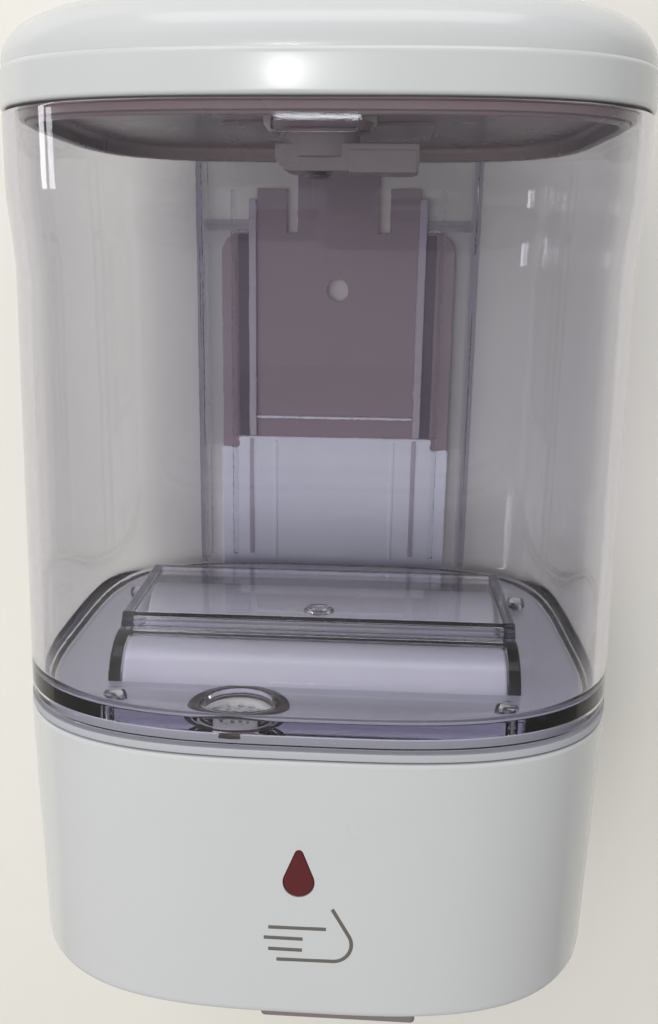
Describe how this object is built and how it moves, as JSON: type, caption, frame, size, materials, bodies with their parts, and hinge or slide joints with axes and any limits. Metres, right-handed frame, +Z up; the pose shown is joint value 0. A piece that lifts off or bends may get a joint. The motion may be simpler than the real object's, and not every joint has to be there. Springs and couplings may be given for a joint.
{
  "type": "automatic soap dispenser",
  "caption": "Wall-hung touchless soap dispenser: clear tank with a hinged locking lid on a white battery base with a motor-driven pump, nozzle and hand sensor.",
  "frame": {"origin": "on the wall face of the wall plate, on the middle plane, 119.5 mm above the base's lower edge", "axes": "+Z up, +Y into the wall, so that the front faces -Y; +X to the right for someone who faces the dispenser"},
  "size_m": [0.13, 0.1309, 0.204],
  "materials": {
    "white_shell": "smooth glossy white",
    "white_inner": "satin white",
    "clear_tank": "clear, faint smoke tint",
    "plum_plate": "glossy dark plum",
    "taupe_liner": "satin taupe",
    "dark_rubber": "matt dark brown",
    "soft_silicone": "milky silicone",
    "grey_plastic": "fine-grained grey",
    "black_plastic": "fine-grained black",
    "red_lens": "clear dark red",
    "sensor_window": "polished black, clear to infrared",
    "bright_metal": "bright plated",
    "plated_steel": "zinc plated",
    "motor_case": "plated can",
    "gear_plastic": "natural moulded",
    "board_green": "green circuit board",
    "cell_jacket": "plain printed film jacket"
  },
  "bodies": {
    "plate": {"wall_plate": "plum_plate"},
    "housing": {"tank": "clear_tank", "tank_screw_1": "plated_steel", "tank_screw_2": "plated_steel", "tank_screw_3": "plated_steel", "tank_screw_4": "plated_steel", "outlet_seal": "dark_rubber", "outlet_filter": "soft_silicone", "base_deck": "white_inner", "base_shell": "white_shell", "base_bottom": "white_shell", "back_cover": "white_inner", "base_screw_left": "plated_steel", "base_screw_right": "plated_steel", "drop_lens": "red_lens", "nozzle_housing": "grey_plastic", "nozzle_tip": "soft_silicone", "sensor_window": "sensor_window", "sensor_board": "board_green", "ir_emitter": "black_plastic", "ir_receiver": "black_plastic", "main_board": "board_green", "indicator_led": "red_lens", "battery_case": "black_plastic", "battery_cell_1": "cell_jacket", "battery_cell_2": "cell_jacket", "battery_cell_3": "cell_jacket", "battery_cell_4": "cell_jacket", "contact_top_left": "plated_steel", "contact_top_right": "plated_steel", "battery_spring_2": "plated_steel", "battery_spring_4": "plated_steel", "pump_body": "grey_plastic", "pump_cover": "grey_plastic", "driven_gear_pin": "bright_metal", "motor_can": "motor_case", "motor_end_cap": "black_plastic", "motor_cradle": "grey_plastic", "inlet_cup": "grey_plastic", "inlet_sleeve": "soft_silicone", "outlet_tube": "soft_silicone", "switch_body": "black_plastic"},
    "lid": {"lid_shell": "white_shell", "lid_liner": "taupe_liner", "lid_gasket": "soft_silicone", "hinge_pin_left": "plated_steel", "hinge_pin_right": "plated_steel", "lock_boss": "taupe_liner"},
    "lock": {"lock_barrel": "bright_metal", "lock_cam": "grey_plastic", "lock_screw": "plated_steel"},
    "door": {"battery_door": "white_shell", "contact_bottom": "plated_steel", "battery_spring_1": "plated_steel", "battery_spring_3": "plated_steel"},
    "knob": {"switch_knob": "black_plastic"},
    "drive": {"drive_gear": "gear_plastic", "motor_shaft": "bright_metal"},
    "driven": {"driven_gear": "gear_plastic"}
  },
  "joints": [
    {"name": "housing_lift", "type": "slide", "parent": "plate", "child": "housing", "axis": [0, 0, 1], "range_m": [0, 0.045]},
    {"name": "lid_hinge", "type": "hinge", "parent": "housing", "child": "lid", "pos_m": [0, -0.0072, 0.058], "axis": [-1, 0, 0], "range_deg": [0, 40]},
    {"name": "lock_turn", "type": "hinge", "parent": "lid", "child": "lock", "pos_m": [0, -0.098, 0.0435], "axis": [0, 0, -1], "range_deg": [0, 90]},
    {"name": "battery_door_pull", "type": "slide", "parent": "housing", "child": "door", "axis": [0, 0, -1], "range_m": [0, 0.03]},
    {"name": "switch_slide", "type": "slide", "parent": "housing", "child": "knob", "axis": [1, 0, 0], "range_m": [0, 0.004]},
    {"name": "drive_spin", "type": "hinge", "parent": "housing", "child": "drive", "pos_m": [-0.0163, -0.0925, -0.0735], "axis": [1, 0, 0], "continuous": true},
    {"name": "driven_spin", "type": "hinge", "parent": "housing", "child": "driven", "pos_m": [-0.0163, -0.0925, -0.0821], "axis": [1, 0, 0], "continuous": true}
  ],
  "couplings": [
    {"joint": "driven_spin", "follows": "drive_spin", "ratio": -1}
  ]
}
